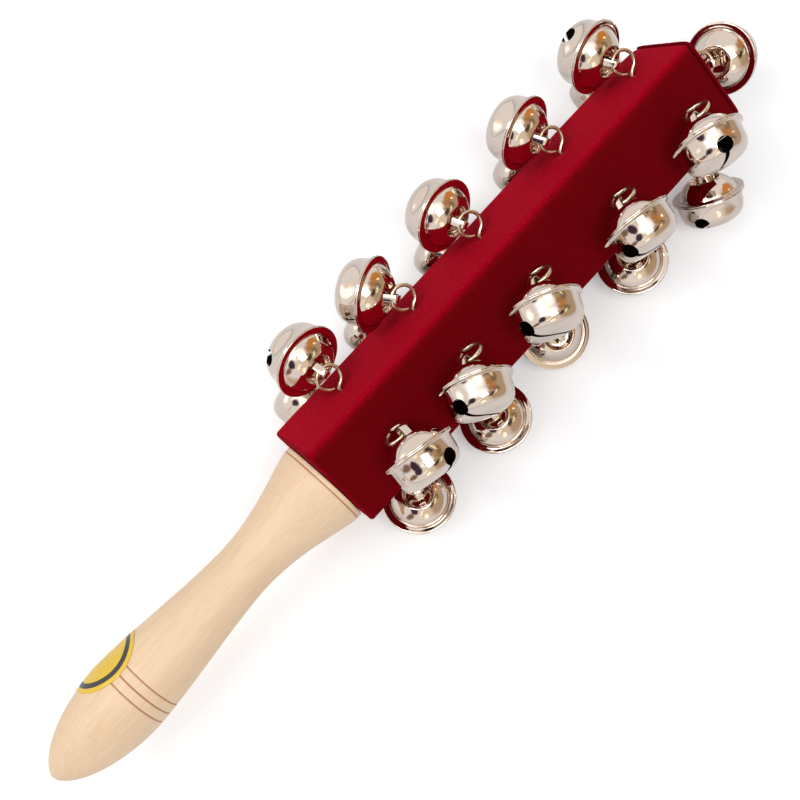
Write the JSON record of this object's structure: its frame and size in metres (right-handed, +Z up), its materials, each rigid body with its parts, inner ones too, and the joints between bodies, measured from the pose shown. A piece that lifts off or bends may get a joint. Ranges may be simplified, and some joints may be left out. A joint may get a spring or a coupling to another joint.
{
  "type": "sleigh bell stick",
  "caption": "Turned wooden handle with a velvet-covered square block; rows of round jingle bells hang from wire screw eyes on it and swing freely.",
  "frame": {"origin": "on the table under the middle of the part, which lies on its bells", "axes": "+X along the stick from the handle to the far end, +Z up"},
  "size_m": [0.3406, 0.0826, 0.0681],
  "materials": {
    "pale_wood": "pale close-grained hardwood, smooth clear satin",
    "core_wood": "plain planed softwood, hidden under the velvet",
    "red_velvet": "deep red short-pile velvet",
    "nickel_plate": "polished nickel plate, slightly warm",
    "eye_wire": "plated wire, dull, slightly golden",
    "pellet_steel": "plain steel"
  },
  "bodies": {
    "stick": {"core_block": "core_wood", "handle": "pale_wood", "screw_eye_bottom_1": "eye_wire", "screw_eye_bottom_2": "eye_wire", "screw_eye_bottom_3": "eye_wire", "screw_eye_bottom_4": "eye_wire", "screw_eye_bottom_5": "eye_wire", "screw_eye_end_1": "eye_wire", "screw_eye_left_1": "eye_wire", "screw_eye_left_2": "eye_wire", "screw_eye_left_3": "eye_wire", "screw_eye_left_4": "eye_wire", "screw_eye_left_5": "eye_wire", "screw_eye_right_1": "eye_wire", "screw_eye_right_2": "eye_wire", "screw_eye_right_3": "eye_wire", "screw_eye_right_4": "eye_wire", "screw_eye_right_5": "eye_wire", "screw_eye_top_1": "eye_wire", "screw_eye_top_2": "eye_wire", "screw_eye_top_3": "eye_wire", "screw_eye_top_4": "eye_wire", "screw_eye_top_5": "eye_wire", "velvet_end_piece": "red_velvet", "velvet_wrap": "red_velvet"},
    "jingle_bottom_1": {"bell_bottom_1": "nickel_plate"},
    "jingle_bottom_2": {"bell_bottom_2": "nickel_plate"},
    "jingle_bottom_3": {"bell_bottom_3": "nickel_plate"},
    "jingle_bottom_4": {"bell_bottom_4": "nickel_plate"},
    "jingle_bottom_5": {"bell_bottom_5": "nickel_plate"},
    "jingle_end_1": {"bell_end_1": "nickel_plate", "pellet_end_1": "pellet_steel"},
    "jingle_left_1": {"bell_left_1": "nickel_plate", "pellet_left_1": "pellet_steel"},
    "jingle_left_2": {"bell_left_2": "nickel_plate", "pellet_left_2": "pellet_steel"},
    "jingle_left_3": {"bell_left_3": "nickel_plate", "pellet_left_3": "pellet_steel"},
    "jingle_left_4": {"bell_left_4": "nickel_plate", "pellet_left_4": "pellet_steel"},
    "jingle_left_5": {"bell_left_5": "nickel_plate", "pellet_left_5": "pellet_steel"},
    "jingle_right_1": {"bell_right_1": "nickel_plate", "pellet_right_1": "pellet_steel"},
    "jingle_right_2": {"bell_right_2": "nickel_plate", "pellet_right_2": "pellet_steel"},
    "jingle_right_3": {"bell_right_3": "nickel_plate", "pellet_right_3": "pellet_steel"},
    "jingle_right_4": {"bell_right_4": "nickel_plate"},
    "jingle_right_5": {"bell_right_5": "nickel_plate"},
    "jingle_top_1": {"bell_top_1": "nickel_plate", "pellet_top_1": "pellet_steel"},
    "jingle_top_2": {"bell_top_2": "nickel_plate", "pellet_top_2": "pellet_steel"},
    "jingle_top_3": {"bell_top_3": "nickel_plate", "pellet_top_3": "pellet_steel"},
    "jingle_top_4": {"bell_top_4": "nickel_plate", "pellet_top_4": "pellet_steel"},
    "jingle_top_5": {"bell_top_5": "nickel_plate", "pellet_top_5": "pellet_steel"}
  },
  "joints": [
    {"name": "swing_bottom_1", "type": "hinge", "parent": "stick", "child": "jingle_bottom_1", "pos_m": [-0.02624, 0.01824, 0.01148], "axis": [0.6561, 0.411, -0.633], "range_deg": [-150.46, 2.29]},
    {"name": "swing_bottom_2", "type": "hinge", "parent": "stick", "child": "jingle_bottom_2", "pos_m": [0.01006, 0.01818, 0.01158], "axis": [0.6293, 0.4233, -0.6518], "range_deg": [-139.75, 2.13]},
    {"name": "swing_bottom_3", "type": "hinge", "parent": "stick", "child": "jingle_bottom_3", "pos_m": [0.04665, 0.0183, 0.01139], "axis": [0.682, 0.3983, -0.6134], "range_deg": [-137.93, 2.1]},
    {"name": "swing_bottom_4", "type": "hinge", "parent": "stick", "child": "jingle_bottom_4", "pos_m": [0.08709, 0.01707, 0.00962], "axis": [0.8746, 0.264, -0.4066], "range_deg": [-155.48, 2.37]},
    {"name": "swing_bottom_5", "type": "hinge", "parent": "stick", "child": "jingle_bottom_5", "pos_m": [0.12823, 0.01682, 0.01001], "axis": [0.766, -0.3501, 0.5391], "range_deg": [-156.21, 2.38]},
    {"name": "swing_end_1", "type": "hinge", "parent": "stick", "child": "jingle_end_1", "pos_m": [0.15169, -0.00086, 0.03247], "axis": [0.6293, 0.7255, 0.2785], "range_deg": [-114.33, 40.17]},
    {"name": "swing_left_1", "type": "hinge", "parent": "stick", "child": "jingle_left_1", "pos_m": [-0.02024, 0.02346, 0.04785], "axis": [0.9962, 0.0731, 0.0475], "range_deg": [-5.74, 121.84]},
    {"name": "swing_left_2", "type": "hinge", "parent": "stick", "child": "jingle_left_2", "pos_m": [0.01286, 0.02264, 0.04707], "axis": [0.7314, 0.572, 0.3714], "range_deg": [-4.63, 98.33]},
    {"name": "swing_left_3", "type": "hinge", "parent": "stick", "child": "jingle_left_3", "pos_m": [0.04646, 0.02346, 0.04641], "axis": [0.809, 0.493, 0.3201], "range_deg": [-1.86, 122.32]},
    {"name": "swing_left_4", "type": "hinge", "parent": "stick", "child": "jingle_left_4", "pos_m": [0.08536, 0.02209, 0.04791], "axis": [0.7314, 0.572, 0.3714], "range_deg": [-6.21, 118.06]},
    {"name": "swing_left_5", "type": "hinge", "parent": "stick", "child": "jingle_left_5", "pos_m": [0.12166, 0.02168, 0.04776], "axis": [0.6293, 0.6518, 0.4233], "range_deg": [-1.98, 129.99]},
    {"name": "swing_right_1", "type": "hinge", "parent": "stick", "child": "jingle_right_1", "pos_m": [-0.02625, -0.02341, 0.01979], "axis": [0.8829, -0.3937, -0.2557], "range_deg": [-134.76, 34.75]},
    {"name": "swing_right_2", "type": "hinge", "parent": "stick", "child": "jingle_right_2", "pos_m": [0.01068, -0.02417, 0.02025], "axis": [0.9744, -0.1887, -0.1225], "range_deg": [-131.12, 36.98]},
    {"name": "swing_right_3", "type": "hinge", "parent": "stick", "child": "jingle_right_3", "pos_m": [0.04652, -0.02338, 0.01898], "axis": [0.9816, -0.16, -0.1039], "range_deg": [-161.49, 3.3]},
    {"name": "swing_right_4", "type": "hinge", "parent": "stick", "child": "jingle_right_4", "pos_m": [0.08538, -0.02335, 0.019], "axis": [0.9744, -0.1887, -0.1225], "range_deg": [-135.83, 30.83]},
    {"name": "swing_right_5", "type": "hinge", "parent": "stick", "child": "jingle_right_5", "pos_m": [0.1244, -0.02285, 0.01837], "axis": [0.9563, -0.2452, -0.1592], "range_deg": [-82.36, 76.02]},
    {"name": "swing_top_1", "type": "hinge", "parent": "stick", "child": "jingle_top_1", "pos_m": [-0.01821, -0.01144, 0.05591], "axis": [0.9455, 0.1773, -0.273], "range_deg": [-136.21, 2.07]},
    {"name": "swing_top_2", "type": "hinge", "parent": "stick", "child": "jingle_top_2", "pos_m": [0.01153, -0.01054, 0.0547], "axis": [0.5878, -0.4406, 0.6785], "range_deg": [-94.95, 6.06]},
    {"name": "swing_top_3", "type": "hinge", "parent": "stick", "child": "jingle_top_3", "pos_m": [0.04509, -0.01017, 0.05487], "axis": [0.5736, -0.4461, 0.687], "range_deg": [-91.94, 1.4]},
    {"name": "swing_top_4", "type": "hinge", "parent": "stick", "child": "jingle_top_4", "pos_m": [0.08376, -0.01296, 0.05347], "axis": [0.6561, -0.411, 0.633], "range_deg": [-121.48, 1.85]},
    {"name": "swing_top_5", "type": "hinge", "parent": "stick", "child": "jingle_top_5", "pos_m": [0.12186, -0.01198, 0.05398], "axis": [0.6293, -0.4233, 0.6518], "range_deg": [-106.88, 1.63]}
  ]
}
